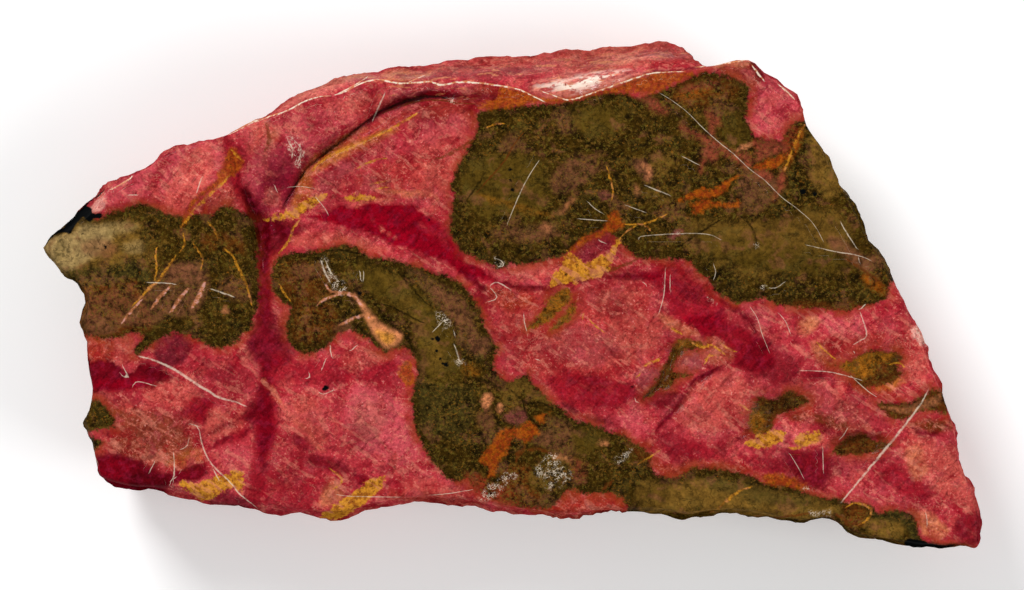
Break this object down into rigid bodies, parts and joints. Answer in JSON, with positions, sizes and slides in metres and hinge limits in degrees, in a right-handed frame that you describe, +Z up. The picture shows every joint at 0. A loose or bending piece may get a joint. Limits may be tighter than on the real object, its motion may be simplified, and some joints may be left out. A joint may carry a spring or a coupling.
{
  "type": "rhodonite specimen",
  "caption": "Loose broken piece of rose-pink rhodonite with dark oxide patches, a smooth uneven upper face, rough broken sides and a flat back to lie on.",
  "frame": {"origin": "middle of the bounding box of the stone at its lowest level, on the surface that it lies on", "axes": "+X along the stone towards its pointed right corner, +Y across it towards the edge with the rough sloping strip, +Z up out of the smooth face"},
  "size_m": [0.1198, 0.0649, 0.0186],
  "materials": {
    "rhodonite": "smooth, waxy to glossy rose-pink stone with crimson shadows, olive-brown granular oxide patches, and gold and rust-orange veins"
  },
  "bodies": {
    "root": {"rhodonite_stone": "rhodonite"}
  },
  "joints": []
}
